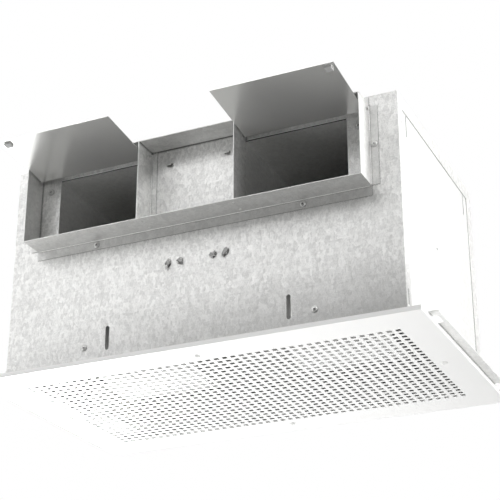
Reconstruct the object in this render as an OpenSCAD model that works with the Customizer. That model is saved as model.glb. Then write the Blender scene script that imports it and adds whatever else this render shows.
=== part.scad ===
// Ceiling exhaust fan with two blowers on one motor, a wide rectangular duct connector
// with two backdraft flaps, and a perforated grille.
// Frame: X to the right along the front, Y to the back, Z up. The origin is the centre of
// the housing's mouth, in the plane of the finished ceiling. Sizes are in millimetres.

/* [Housing] */
// Width of the sheet-metal housing, over its folded corners
housing_w = 618; // [612:1:660]
// Depth of the housing, front to back
housing_d = 350; // [346:1:400]
// Height of the housing above the ceiling plane
housing_h = 339; // [336:1:380]
// Thickness of the housing sheet
sheet_t = 1.2; // [0.8:0.1:1.6]
// How far the front and rear panels lap round onto the sides
corner_lap = 21; // [16:1:30]
// How far the top cover laps down over the sides
top_lap = 20; // [14:1:20]
// Width of the inward flange round the mouth
mouth_flange = 16; // [12:1:20]
// Diameter of the supply cable's knock-out hole
knockout_d = 22.2; // [16:0.1:28]

/* [Duct connector] */
// Outer width of the duct connector
collar_w = 534; // [530:1:560]
// Outer height of the duct connector
collar_h = 127; // [125:1:132]
// How far the connector stands out from the front panel
collar_depth = 42; // [38:1:60]
// Drop from the housing's top to the connector's top
collar_drop = 14; // [13:1:20]
// Thickness of the connector's sheet
collar_t = 1; // [0.8:0.1:1.2]
// Outer radius of the connector's bends
collar_bend = 2; // [1.4:0.1:3]
// Width of the flange that stands up behind the top plate
collar_head_flange = 12; // [8:1:12]
// Width of the flange that hangs below the bottom plate
collar_foot_flange = 14.5; // [12:0.5:20]
// Width of the flanges at the two ends
collar_end_flange = 12; // [8:1:16]
// How far the end flanges stop short of the top
collar_end_notch = 3; // [2:0.5:8]
// Clear width of the closed bay between the two dividers
divider_gap = 153; // [146:1:154]
// Width of the dividers' flanges
divider_flange = 9; // [6:1:14]

/* [Air outlets] */
// Width of each blower outlet
outlet_w = 156; // [150:1:158]
// Height of each blower outlet
outlet_h = 106; // [100:1:106]
// Drop from the connector's top to the top of the outlets
outlet_drop = 15.5; // [15:0.5:18]

/* [Backdraft flaps] */
// Length of a flap, from its hinge pin to its free edge
flap_l = 119; // [116:1:122]
// Thickness of a flap
flap_t = 0.8; // [0.6:0.1:1]
// Gap between a flap and the walls beside it
flap_gap = 2.5; // [2:0.1:5]
// Angle above the horizontal at which the left flap is stored
flap_left_angle = 5; // [2:1:9]
// Angle above the horizontal at which the right flap is stored
flap_right_angle = 6; // [2:1:9]
// Distance of the hinge pin in front of the front panel
hinge_stand = 9; // [7:0.5:12]
// Drop from the connector's top to the hinge pin
hinge_drop = 10; // [9:0.5:12]
// Radius of the hinge pin
pin_r = 1.6; // [1.2:0.1:2]
// Radial clearance of the hinge pin
pin_clear = 0.06; // [0.03:0.01:0.1]
// How far the hinge pin stands out past the walls that hold it
pin_tail = 2.5; // [1.5:0.5:4]
// Side of the square foam bumper on each flap
pad_w = 11; // [8:1:16]
// Thickness of the foam bumper
pad_t = 3; // [2:0.5:4]
// Distance of the bumper from the flap's edges
pad_inset = 5; // [3:1:10]

/* [Blowers] */
// Height of the outlets' top above the blower shaft
outlet_rise = 164.5; // [162:0.5:166]
// Gap between the scrolls and the lining behind them
scroll_back_gap = 6.3; // [5:0.1:12]
// Thickness of the scroll sheet
scroll_t = 1; // [0.8:0.1:1.2]
// Growth of the scroll's radius in each quarter turn
scroll_growth = 25; // [24:0.5:26]
// Radius of each inlet
inlet_r = 50; // [46:1:52]
// Radius of the rolled lip round each inlet
inlet_lip = 6; // [4:0.5:8]
// Width of the flange that screws each scroll to the front panel
scroll_flange = 26; // [20:1:30]
// Outer radius of the blower wheels
wheel_r = 66; // [62:1:67]
// Length of the blower wheels
wheel_l = 116; // [100:1:120]
// Number of blades round each wheel
blade_count = 36; // [24:1:40]
// Radial depth of the ring of blades
blade_depth = 11; // [9:0.5:12]
// Radius of the arc each blade is curved to
blade_arc_r = 9; // [8:0.5:11]
// Thickness of a blade
blade_t = 0.8; // [0.6:0.1:1]
// Length of the rings that hold the blades' ends
wheel_rim_l = 4; // [3:0.5:6]
// Thickness of the disc in the middle of each wheel
wheel_disc_t = 1.5; // [1:0.1:2.5]
// Radius of the wheel's hub
hub_r = 11; // [9:0.5:14]
// Length of the wheel's hub
hub_l = 26; // [20:1:34]

/* [Motor] */
// Radius of the shaft
shaft_r = 4; // [3.5:0.1:5]
// Running clearance round the shaft
shaft_clear = 0.05; // [0.02:0.01:0.09]
// Radius of the motor's shell
motor_r = 55; // [48:1:56]
// Length of the motor's shell
motor_l = 76; // [64:1:80]
// Length of each end bell
bell_l = 12; // [9:1:13]
// Radius of the end bells' bearing bosses
boss_r = 15; // [13:0.5:18]
// Length of the end bells' bearing bosses
boss_l = 9; // [8:0.5:10]
// Outer radius of the bearing bushes
bush_r = 7; // [6:0.5:9]
// Radius of the rubber rings that carry the motor
ring_r = 23; // [20:0.5:26]
// Depth of the groove round the rubber rings
ring_groove = 3; // [2:0.5:4]
// Width of the bracket that carries the motor
bracket_w = 104; // [100:1:116]
// Thickness of the motor bracket and cradle
bracket_t = 1.8; // [1.2:0.1:2.4]
// Distance between the motor and the cradle under it
motor_lift = 6; // [4:1:9]
// Width of the bracket's hooks
hook_w = 7; // [5:0.5:9]
// Distance of the inner hooks from the middle
hook_inner_x = 26; // [22:1:30]
// Distance of the outer hooks from the middle
hook_outer_x = 45; // [40:1:47]
// Drop from the shaft to the hooks
hook_drop = 8; // [5:1:15]

/* [Wiring box] */
// Depth of the wiring box, out from the side panel
box_w = 44; // [36:1:48]
// Length of the wiring box, front to back
box_l = 92; // [80:1:110]
// Height of the wiring box
box_h = 58; // [50:1:64]
// Gap between the wiring box and the lining behind it
box_back_gap = 19.8; // [16:0.1:26]
// Gap between the wiring box and the mouth's flange
box_lift = 3; // [1:1:6]

/* [Acoustic lining] */
// Thickness of the foam lining
liner_t = 12; // [8:1:12]

/* [Mounting rails] */
// Width of the rails' horizontal leg
rail_w = 42; // [32:1:48]
// Height of the rails' upright leg
rail_h = 16; // [14:1:16]
// Thickness of the rails
rail_t = 1.5; // [1.2:0.1:2]
// Distance of the screw slots from the rails' outer edge
rail_slot_inset = 10; // [6:1:11]
// Distance from a rail's end to the middle of its screw slot
rail_slot_end = 27; // [25:1:35]
// Length of a screw slot
rail_slot_l = 28; // [20:1:32]
// Width of a screw slot
rail_slot_w = 8; // [6:0.5:9]

/* [Grille] */
// Width of the grille
grille_w = 674; // [660:1:676]
// Depth of the grille, front to back
grille_d = 410; // [396:1:420]
// Height of the grille's turned-up rim
grille_rim = 6.5; // [5:0.5:10]
// Thickness of the grille's sheet
grille_t = 1; // [0.8:0.1:1.2]
// Distance from one grille hole to the next
hole_pitch = 12.7; // [12:0.1:13]
// Side of a square grille hole
hole_w = 7.2; // [5:0.1:9]
// Number of holes along the width
hole_cols = 46; // [20:1:46]
// Number of holes along the depth
hole_rows = 24; // [10:1:24]

/* [Fasteners] */
// Radius of the screw heads
head_r = 4.2; // [3.5:0.1:5]
// Height of the screw heads
head_h = 2; // [1.5:0.1:2.4]
// Radius of the screws
screw_r = 1.9; // [1.5:0.1:2.2]
// Gap between a screw and its hole
screw_clear = 0.2; // [0.1:0.05:0.4]
// Distance of the grille screws from the housing's outer edge
grille_screw_inset = 6; // [5:0.5:8]
// Radius of the rivet heads
rivet_r = 2.6; // [2:0.1:3]
// Height of the rivet heads
rivet_h = 1.1; // [0.8:0.1:1.4]

/* [Hidden] */
$fn = 72;

// Overrun of a cut past the faces it opens
over = 0.5;
// Small gap kept between pieces that only lie beside each other
slack = 0.3;
// Gap all round where one piece is fitted into another
fit = 0.1;
screw_hole_r = screw_r + screw_clear;

// Faces of the housing
half_w = housing_w / 2;
front_y = -housing_d / 2;
back_y = housing_d / 2;
side_x = half_w - 2 * sheet_t;       // inner face of the side panels
front_in = front_y + sheet_t;        // inner face of the front panel
back_in = back_y - sheet_t;          // inner face of the rear panel
top_in = housing_h - sheet_t;        // underside of the top cover
liner_x = side_x - liner_t;          // inner faces of the lining
liner_back = back_in - liner_t;
liner_top_z = top_in - liner_t;

// Duct connector and outlets
collar_top_z = housing_h - collar_drop;
collar_bot_z = collar_top_z - collar_h;
collar_x = collar_w / 2;
divider_x = divider_gap / 2;         // inner face of a divider
outlet_x0 = divider_x + collar_t;    // an outlet starts at its divider's outer face
outlet_x1 = outlet_x0 + outlet_w;
outlet_top = collar_top_z - outlet_drop;
outlet_bot = outlet_top - outlet_h;
collar_screw_shift = 9.5;
collar_screw_x = (outlet_x0 + outlet_x1) / 2 + collar_screw_shift;
collar_end_screw_z = collar_bot_z + collar_h / 2;
foot_screw_z = collar_bot_z - collar_foot_flange / 2;
head_screw_z = collar_top_z + collar_head_flange / 2;

// Backdraft flaps
hinge_y = front_y - hinge_stand;
hinge_z = collar_top_z - hinge_drop;
flap_x0 = outlet_x0 + flap_gap;
flap_x1 = collar_x - collar_t - flap_gap;
barrel_r = pin_r + pin_clear + flap_t;

// Scroll drawn with four quarter arcs about the corners of a square round the shaft
arc_d_r = outlet_rise - scroll_growth / 2;
arc_c_r = arc_d_r - scroll_growth;
arc_b_r = arc_c_r - scroll_growth;
arc_a_r = arc_b_r - scroll_growth;
half_growth = scroll_growth / 2;
axis_z = outlet_top - outlet_rise;
axis_y = liner_back - scroll_back_gap - scroll_t - half_growth - arc_c_r;
hook_z = axis_z - hook_drop;
scroll_mid_x = (outlet_x0 + outlet_x1) / 2;
scroll_screw_x = outlet_x1 + scroll_t + scroll_flange * 0.62;
scroll_screw_z = outlet_top - outlet_h * 0.13;

// Motor and its carrier
boss_x = motor_l / 2 + bell_l;
ring_x0 = boss_x + slack;
ring_l = boss_l - slack;
ring_mid = boss_x + boss_l / 2;
cradle_top = axis_z - motor_r - motor_lift;
bracket_top = cradle_top - bracket_t;
bracket_lip = 12;
hook_rise = 6;
hook_grip = 2.2;
cradle_l = 84;
cradle_toe = 5;
cradle_base_w = 2 * (ring_mid + cradle_toe) + bracket_t;
strap_t = 1.4;
strap_w = 6;
cradle_screw_y = 34;
shaft_end = 4;
shaft_half = scroll_mid_x + hub_l / 2 + shaft_end;
shell_bore_gap = 1;
end_plate_top = hook_z + hook_rise + hook_grip;

// Wiring box
box_x0 = side_x - box_w;
box_y = liner_back - box_back_gap - box_l / 2;
box_y0 = box_y - box_l / 2;
box_z0 = sheet_t + box_lift;
box_t = 1;
knockout_z = box_z0 + box_h / 2;
receptacle_l = 32;
receptacle_h = 20;
receptacle_w = 16;
receptacle_rim = 2.5;
receptacle_flange = 1.6;
blade_slot_w = 1.8;
blade_slot_l = 7;

// Grille
grille_face = -grille_rim;
grille_screw_y = back_y - grille_screw_inset;
grille_screw_x = half_w - grille_screw_inset;

// Small features of the front panel and the sides
lance_w = 9;
lance_depth = 4.5;
lance_inset = 29.5;
lance_x = divider_x - lance_inset;
lance_z = outlet_top - outlet_h * 0.12;
front_slot_inset = 168;
front_slot_x = half_w - front_slot_inset;
front_slot_z = 22.5;
front_slot_l = 36.5;
front_slot_w = 6.5;
front_screw_inset = 130;
front_screw_x = half_w - front_screw_inset;
front_screw_z = 31;
side_slit_inset = 38;
side_slit_y = back_y - side_slit_inset;
side_slit_w = 2.6;
side_slit_l = 35;
side_slit_drop = 1;
side_slit_z = housing_h - top_lap - side_slit_l - side_slit_drop;
lap_slit_z = 19;
lap_slit_l = 23;
lap_slit_w = 2.6;
side_hole_front = 34;
side_hole_rise = 15;
side_hole_y = axis_y - side_hole_front;
side_hole_z = axis_z + side_hole_rise;
rivet_height_shares = [0.354, 0.64, 0.918];
rail_screw_z = 9;

// Acoustic lining, clear of the ends of the screws
screw_room = 3;
liner_z0 = rail_screw_z + head_r;

galvanised = "lightgray";
steel = "silver";
enamel = "white";
foam = "dimgray";

// Shared shapes

// Mirrors a right-hand piece to the left
module sided(left) {
    if (left) mirror([1, 0, 0]) children();
    else children();
}

// Pushes a Y-Z outline along X from x0 to x1
module along_x(x0, x1) {
    translate([x0, 0, 0]) rotate([90, 0, 90]) linear_extrude(x1 - x0) children();
}

// Pushes an X-Z outline along Y from y0 to y1
module along_y(y0, y1) {
    translate([0, y1, 0]) rotate([90, 0, 0]) linear_extrude(y1 - y0) children();
}

// A box from one corner to the other
module block(low, high) {
    translate(low) cube(high - low);
}

// L section with a round bend: its outer corner is at the origin, its legs run +X and +Y
module angle_2d(leg_x, leg_y, t, bend) {
    translate([bend, 0]) square([leg_x - bend, t]);
    translate([0, bend]) square([t, leg_y - bend]);
    translate([bend, bend]) intersection() {
        difference() {
            circle(bend);
            circle(bend - t);
        }
        translate([-bend, -bend]) square(bend);
    }
}

// Slot with round ends, centred, its length along Y
module slot_2d(l, w) {
    square([w, l - w], center = true);
    for (s = [-1, 1]) translate([0, s * (l - w) / 2]) circle(w / 2);
}

// Screw whose head lies on the plane Z = 0 and whose shank points down
module screw(l) {
    difference() {
        cylinder(r = head_r, h = head_h);
        translate([0, 0, head_h * 0.55]) for (a = [0, 90]) rotate(a)
            translate([-head_r * 0.6, -head_r * 0.14, 0]) cube([head_r * 1.2, head_r * 0.28, head_h]);
    }
    translate([0, 0, -l]) cylinder(r = screw_r, h = l);
}

// Domed rivet head on the plane Z = 0
module rivet() {
    dome_r = (rivet_r * rivet_r + rivet_h * rivet_h) / (2 * rivet_h);
    rotate_extrude() intersection() {
        translate([0, rivet_h - dome_r]) circle(dome_r);
        square([rivet_r, rivet_h]);
    }
}

// Turns a fastener so that its head faces -Y, +X or -Z
module face_front() { rotate([90, 0, 0]) children(); }
module face_right() { rotate([0, 90, 0]) children(); }
module face_down() { rotate([180, 0, 0]) children(); }

// Housing

// Plate with two laps round the corners and a flange at the mouth, drawn as the front one
module lapped_panel() {
    block([-half_w, front_y, 0], [half_w, front_in, housing_h]);
    for (s = [-1, 1]) {
        x = s * (half_w - sheet_t / 2);
        block([x - sheet_t / 2, front_y, 0], [x + sheet_t / 2, front_y + corner_lap, housing_h]);
    }
    block([-side_x, front_y, 0], [side_x, front_y + mouth_flange, sheet_t]);
}

// Slots through which the motor bracket hooks into the panel
module hook_slots() {
    for (s = [-1, 1], x = [hook_inner_x, hook_outer_x])
        block([s * x - hook_w / 2 - slack, front_y - over, hook_z - slack],
              [s * x + hook_w / 2 + slack, front_in + over, hook_z + bracket_t + hook_grip]);
}

// Slits in the laps, and the holes of the grille screw and of the rail screws
module lap_cuts() {
    for (s = [-1, 1]) {
        y = front_y + corner_lap * 0.43;
        block([s * half_w - 2 * sheet_t, y - lap_slit_w / 2, lap_slit_z],
              [s * half_w + 2 * sheet_t, y + lap_slit_w / 2, lap_slit_z + lap_slit_l]);
        translate([s * half_w, front_y + corner_lap / 2, rail_screw_z]) rotate([0, 90, 0])
            cylinder(r = screw_hole_r, h = 4 * sheet_t, center = true);
    }
    translate([0, -grille_screw_y, 0]) cylinder(r = screw_hole_r, h = 4 * sheet_t, center = true);
}

// A pressed lance: a quarter-round scoop standing out of the panel
module lance() {
    along_x(-lance_w / 2, lance_w / 2) difference() {
        intersection() {
            circle(lance_depth);
            translate([-lance_depth, 0]) square([lance_depth, lance_depth]);
        }
        circle(lance_depth - sheet_t);
    }
}

module front_panel() color(galvanised) {
    difference() {
        lapped_panel();
        for (left = [true, false]) sided(left) {
            block([outlet_x0, front_y - over, outlet_bot], [outlet_x1, front_in + over, outlet_top]);
            translate([front_slot_x, front_in + over, front_slot_z + front_slot_l / 2])
                rotate([90, 0, 0]) linear_extrude(sheet_t + 2 * over) slot_2d(front_slot_l, front_slot_w);
            for (place = [[scroll_screw_x, scroll_screw_z], [front_screw_x, front_screw_z]])
                translate([place[0], front_y, place[1]]) rotate([90, 0, 0])
                    cylinder(r = screw_hole_r, h = 4 * sheet_t, center = true);
            for (z = [foot_screw_z, head_screw_z]) translate([collar_screw_x, front_y, z])
                rotate([90, 0, 0]) cylinder(r = screw_hole_r, h = 4 * sheet_t, center = true);
            translate([collar_x + collar_end_flange / 2, front_y, collar_end_screw_z])
                rotate([90, 0, 0]) cylinder(r = screw_hole_r, h = 4 * sheet_t, center = true);
        }
        hook_slots();
        lap_cuts();
    }
    for (s = [-1, 1]) translate([s * lance_x, front_y, lance_z]) lance();
}

module rear_panel() color(galvanised) mirror([0, 1, 0]) difference() {
    lapped_panel();
    hook_slots();
    lap_cuts();
}

// Flat side with a mouth flange; it lies inside the laps and under the top cover
module side_panel() difference() {
    union() {
        block([side_x, front_in, 0], [side_x + sheet_t, back_in, top_in]);
        block([half_w - mouth_flange, front_y + mouth_flange, 0],
              [side_x, back_y - mouth_flange, sheet_t]);
    }
    for (s = [-1, 1]) {
        block([side_x - over, s * side_slit_y - side_slit_w / 2, side_slit_z],
              [half_w, s * side_slit_y + side_slit_w / 2, side_slit_z + side_slit_l]);
        translate([half_w, s * (back_y - corner_lap / 2), rail_screw_z]) rotate([0, 90, 0])
            cylinder(r = screw_hole_r, h = 6 * sheet_t, center = true);
    }
    translate([half_w, side_hole_y, side_hole_z]) rotate([0, 90, 0])
        cylinder(r = screw_hole_r, h = 6 * sheet_t, center = true);
    translate([grille_screw_x, 0, 0]) cylinder(r = screw_hole_r, h = 4 * sheet_t, center = true);
}

module side_panel_right() color(galvanised) side_panel();

module side_panel_left() color(galvanised) mirror([1, 0, 0]) difference() {
    side_panel();
    translate([half_w, box_y, knockout_z]) rotate([0, 90, 0])
        cylinder(d = knockout_d, h = 6 * sheet_t, center = true);
}

module top_cover() color(galvanised) {
    block([sheet_t - half_w, front_in, top_in], [half_w - sheet_t, back_in, housing_h]);
    for (s = [-1, 1]) {
        x = s * (half_w - sheet_t / 2);
        block([x - sheet_t / 2, front_y + corner_lap, housing_h - top_lap],
              [x + sheet_t / 2, back_y - corner_lap, housing_h]);
    }
}

// Duct connector

// Bent plate of the connector: depth out of the panel, flange flat on it, seen along X
module collar_plate_2d(flange) {
    translate([front_y, 0]) mirror([1, 0]) angle_2d(collar_depth, flange + collar_t, collar_t, collar_bend);
}

module collar_top() color(galvanised) difference() {
    along_x(-collar_x, collar_x) translate([0, collar_top_z - collar_t])
        collar_plate_2d(collar_head_flange);
    for (s = [-1, 1]) translate([s * collar_screw_x, front_y, head_screw_z]) rotate([90, 0, 0])
        cylinder(r = screw_hole_r, h = 4 * collar_t, center = true);
}

module collar_bottom() color(galvanised) difference() {
    along_x(-collar_x, collar_x) translate([0, collar_bot_z + collar_t]) mirror([0, 1])
        collar_plate_2d(collar_foot_flange);
    for (s = [-1, 1]) translate([s * collar_screw_x, front_y, foot_screw_z]) rotate([90, 0, 0])
        cylinder(r = screw_hole_r, h = 4 * collar_t, center = true);
}

// Upright wall between the two plates, with a flange to one side and the pin's hole
module upright(x, flange, flange_top) difference() {
    union() {
        translate([x, front_y, 0]) rotate(180) translate([0, 0, collar_bot_z + collar_t])
            linear_extrude(collar_h - 2 * collar_t) square([collar_t, collar_depth]);
        block([x - collar_t, front_y - collar_t, collar_bot_z + collar_t],
              [x + flange, front_y, flange_top]);
    }
    translate([x, hinge_y, hinge_z]) rotate([0, 90, 0])
        cylinder(r = pin_r + pin_clear, h = 4 * collar_t, center = true);
}

module collar_wall() difference() {
    upright(collar_x, collar_end_flange, collar_top_z - collar_end_notch);
    translate([collar_x + collar_end_flange / 2, front_y, collar_end_screw_z])
        rotate([90, 0, 0]) cylinder(r = screw_hole_r, h = 4 * collar_t, center = true);
}

module collar_wall_right() color(galvanised) collar_wall();
module collar_wall_left() color(galvanised) mirror([1, 0, 0]) collar_wall();

// The dividers' flanges turn in, towards the closed middle bay
module divider() mirror([1, 0, 0]) upright(-divider_x, divider_flange, collar_top_z - collar_t);

module divider_right() color(galvanised) divider();
module divider_left() color(galvanised) mirror([1, 0, 0]) divider();

// Backdraft flaps

// Places what is drawn about the hinge pin, turned up from the horizontal
module at_hinge(open) {
    translate([0, hinge_y, hinge_z]) rotate([-open, 0, 0]) children();
}

// Plate whose edge is rolled into a barrel round the pin
module flap(open) at_hinge(open) along_x(flap_x0, flap_x1) {
    difference() {
        union() {
            circle(barrel_r);
            translate([-flap_l, -barrel_r]) square([flap_l, flap_t]);
        }
        circle(pin_r + pin_clear);
    }
}

module damper_flap_right() color(steel) flap(flap_right_angle);
module damper_flap_left() color(steel) mirror([1, 0, 0]) flap(flap_left_angle);

// Pin held at both ends, in the end wall and the divider
module damper_pin() translate([divider_x - pin_tail, hinge_y, hinge_z])
    rotate([0, 90, 0]) cylinder(r = pin_r, h = collar_x - divider_x + 2 * pin_tail);

module damper_pin_right() color(steel) damper_pin();
module damper_pin_left() color(steel) mirror([1, 0, 0]) damper_pin();

// Foam bumper under the flap, at the outer corner of its free edge
module damper_pad(open) at_hinge(open)
    block([flap_x1 - pad_inset - pad_w, -flap_l + pad_inset, -barrel_r - pad_t],
          [flap_x1 - pad_inset, -flap_l + pad_inset + pad_w, -barrel_r]);

module damper_pad_right() color(foam) damper_pad(flap_right_angle);
module damper_pad_left() color(foam) mirror([1, 0, 0]) damper_pad(flap_left_angle);

// Blowers

// Quarter disc about one corner of the square; qy and qz give the quarter's direction
module quarter_2d(qy, qz, cy, cz, r) {
    translate([axis_y + cy * half_growth, axis_z + cz * half_growth]) intersection() {
        circle(r);
        translate([qy < 0 ? -r : 0, qz < 0 ? -r : 0]) square(r);
    }
}

// Inside of the scroll and its outlet channel, grown outwards by g
module volute_2d(g) {
    quarter_2d(-1, 1, -1, -1, arc_a_r + g);
    quarter_2d(-1, -1, 1, -1, arc_b_r + g);
    quarter_2d(1, -1, 1, 1, arc_c_r + g);
    quarter_2d(1, 1, -1, 1, arc_d_r + g);
    translate([axis_y - half_growth, axis_z - half_growth]) square(scroll_growth);
    translate([axis_y - half_growth - g, axis_z - half_growth])
        square([scroll_growth / 2, scroll_growth]);
    translate([front_in, outlet_bot - g])
        square([axis_y - half_growth - front_in, outlet_h + 2 * g]);
}

module scroll_wrap() along_x(outlet_x0, outlet_x1) difference() {
    volute_2d(scroll_t);
    volute_2d(0);
}

// Side of a scroll with its inlet, whose rolled lip turns into the scroll
module scroll_side() {
    difference() {
        along_x(0, scroll_t) volute_2d(scroll_t);
        translate([0, axis_y, axis_z]) rotate([0, 90, 0])
            cylinder(r = inlet_r + inlet_lip, h = 4 * scroll_t, center = true);
    }
    translate([0, axis_y, axis_z]) rotate([0, 90, 0]) rotate_extrude()
        translate([inlet_r + inlet_lip, inlet_lip]) intersection() {
            difference() {
                circle(inlet_lip);
                circle(inlet_lip - scroll_t);
            }
            translate([-inlet_lip, -inlet_lip]) square(inlet_lip);
        }
}

module scroll_side_inner() translate([outlet_x0 - scroll_t, 0, 0]) scroll_side();

// The outer side also has the flange that is screwed to the front panel
module scroll_side_outer() {
    translate([outlet_x1 + scroll_t, 0, 0]) mirror([1, 0, 0]) scroll_side();
    difference() {
        block([outlet_x1, front_in, outlet_bot],
              [outlet_x1 + scroll_flange, front_in + scroll_t, outlet_top]);
        translate([scroll_screw_x, front_in, scroll_screw_z]) rotate([90, 0, 0])
            cylinder(r = screw_hole_r, h = 4 * scroll_t, center = true);
    }
}

module scroll_wrap_right() color(galvanised) scroll_wrap();
module scroll_wrap_left() color(galvanised) mirror([1, 0, 0]) scroll_wrap();
module scroll_side_inner_right() color(galvanised) scroll_side_inner();
module scroll_side_inner_left() color(galvanised) mirror([1, 0, 0]) scroll_side_inner();
module scroll_side_outer_right() color(galvanised) scroll_side_outer();
module scroll_side_outer_left() color(galvanised) mirror([1, 0, 0]) scroll_side_outer();

// One forward-curved blade: the half of a thin ring that crosses the blades' annulus
module blade_2d() {
    blade_in = wheel_r - blade_depth;
    translate([blade_in + blade_depth * 0.27, 0]) intersection() {
        difference() {
            circle(blade_arc_r);
            circle(blade_arc_r - blade_t);
        }
        translate([-blade_arc_r, -blade_arc_r]) square([2 * blade_arc_r, blade_arc_r]);
    }
}

module blades_2d() intersection() {
    for (i = [0 : blade_count - 1]) rotate(i * 360 / blade_count) blade_2d();
    difference() {
        circle(wheel_r - blade_t / 2);
        circle(wheel_r - blade_depth);
    }
}

// Wheel about the Z axis, its middle disc at Z = 0: disc and hub, two rings of blades, rims
module blower_wheel() {
    blade_l = wheel_l / 2 - wheel_rim_l - wheel_disc_t / 2;
    difference() {
        union() {
            translate([0, 0, -wheel_disc_t / 2]) cylinder(r = wheel_r, h = wheel_disc_t);
            translate([0, 0, -hub_l / 2]) cylinder(r = hub_r, h = hub_l);
            for (s = [-1, 1]) {
                translate([0, 0, s * (wheel_disc_t + blade_l) / 2])
                    linear_extrude(blade_l, center = true) blades_2d();
                translate([0, 0, s * (wheel_l - wheel_rim_l) / 2])
                    linear_extrude(wheel_rim_l, center = true) difference() {
                        circle(wheel_r);
                        circle(wheel_r - blade_depth);
                    }
            }
        }
        cylinder(r = shaft_r, h = wheel_l, center = true);
        translate([0, 0, hub_l / 3]) rotate([0, 90, 0]) cylinder(r = screw_r, h = hub_r + over);
    }
}

// A point on the shaft, with local Z along the shaft
module on_shaft(x) {
    translate([x, axis_y, axis_z]) rotate([0, 90, 0]) children();
}

module blower_wheel_right() color(galvanised) on_shaft(scroll_mid_x) blower_wheel();
module blower_wheel_left() color(galvanised) on_shaft(-scroll_mid_x) blower_wheel();

module wheel_set_screws() color(steel)
    for (s = [-1, 1]) on_shaft(s * scroll_mid_x) translate([shaft_r, 0, hub_l / 3])
        rotate([0, 90, 0]) cylinder(r = screw_r, h = hub_r - shaft_r);

// Motor and its carrier

module motor_shaft() color(steel) on_shaft(0) cylinder(r = shaft_r, h = 2 * shaft_half, center = true);

module motor_shell() color("darkslategray") on_shaft(0) difference() {
    union() {
        cylinder(r = motor_r, h = motor_l, center = true);
        for (s = [-1, 1]) translate([0, 0, s * motor_l * 0.36])
            cylinder(r = motor_r + scroll_t, h = motor_l * 0.08, center = true);
    }
    cylinder(r = shaft_r + shell_bore_gap, h = 2 * motor_l, center = true);
}

// Domed end of the motor with the boss that holds the bearing; four cooling slots
module motor_end_bell() on_shaft(motor_l / 2) difference() {
    union() {
        rotate_extrude() {
            square([boss_r, bell_l + boss_l]);
            translate([boss_r - over, 0]) square([motor_r - bell_l - boss_r + over, bell_l]);
            translate([motor_r - bell_l, 0]) intersection() {
                circle(bell_l);
                square(bell_l);
            }
        }
    }
    translate([0, 0, -over]) cylinder(r = bush_r, h = bell_l + boss_l + 2 * over);
    for (a = [45 : 90 : 315]) rotate(a) translate([motor_r * 0.55, 0, bell_l / 2])
        linear_extrude(bell_l) slot_2d(motor_r * 0.4, motor_r * 0.09);
}

module motor_end_bell_right() color("slategray") motor_end_bell();
module motor_end_bell_left() color("slategray") mirror([1, 0, 0]) motor_end_bell();

module motor_bearing() on_shaft(motor_l / 2) difference() {
    cylinder(r = bush_r, h = bell_l + boss_l);
    translate([0, 0, -over]) cylinder(r = shaft_r + shaft_clear, h = bell_l + boss_l + 2 * over);
}

module motor_bearing_right() color("peru") motor_bearing();
module motor_bearing_left() color("peru") mirror([1, 0, 0]) motor_bearing();

// Rubber ring on the boss, grooved for the cradle's ear
module isolator_ring() on_shaft(ring_x0) rotate_extrude() difference() {
    translate([boss_r, 0]) square([ring_r - boss_r, ring_l]);
    translate([ring_r - ring_groove, (ring_l - bracket_t) / 2])
        square([ring_groove + over, bracket_t]);
}

module isolator_ring_right() color("#303030") isolator_ring();
module isolator_ring_left() color("#303030") mirror([1, 0, 0]) isolator_ring();

// Carrier from the front panel to the rear one, hooked into both
module bracket_end() {
    block([-bracket_w / 2, front_in, bracket_top - bracket_t],
          [bracket_w / 2, front_in + bracket_t, hook_z + bracket_t]);
    for (s = [-1, 1], x = [hook_inner_x, hook_outer_x]) translate([s * x, 0, 0]) {
        block([-hook_w / 2, front_y - bracket_t - slack, hook_z],
              [hook_w / 2, front_in + bracket_t, hook_z + bracket_t]);
        block([-hook_w / 2, front_y - bracket_t - slack, hook_z],
              [hook_w / 2, front_y - slack, hook_z + hook_rise]);
    }
}

module motor_bracket() color(galvanised) difference() {
    union() {
        block([-bracket_w / 2, front_in, bracket_top - bracket_t], [bracket_w / 2, back_in, bracket_top]);
        for (s = [-1, 1]) {
            x = s * (bracket_w - bracket_t) / 2;
            block([x - bracket_t / 2, front_in, bracket_top - bracket_lip],
                  [x + bracket_t / 2, back_in, bracket_top]);
        }
        bracket_end();
        mirror([0, 1, 0]) bracket_end();
    }
    cradle_screw_holes();
}

module cradle_screw_holes() {
    for (sx = [-1, 1], sy = [-1, 1])
        translate([sx * bracket_w / 4, axis_y + sy * cradle_screw_y, bracket_top])
            cylinder(r = screw_hole_r, h = 6 * bracket_t, center = true);
}

// Base on the bracket with two ears that hold the rubber rings
module motor_cradle() color(galvanised) difference() {
    union() {
        block([-cradle_base_w / 2, axis_y - cradle_l / 2, bracket_top],
              [cradle_base_w / 2, axis_y + cradle_l / 2, cradle_top]);
        for (s = [-1, 1]) along_x(s * (ring_x0 + ring_l / 2) - bracket_t / 2,
                                  s * (ring_x0 + ring_l / 2) + bracket_t / 2)
            difference() {
                polygon([
                    [axis_y - cradle_l / 2, bracket_top], [axis_y + cradle_l / 2, bracket_top],
                    [axis_y + ring_r + strap_w, axis_z], [axis_y - ring_r - strap_w, axis_z]
                ]);
                translate([axis_y, axis_z]) circle(ring_r - ring_groove + fit);
            }
    }
    cradle_screw_holes();
}

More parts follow.
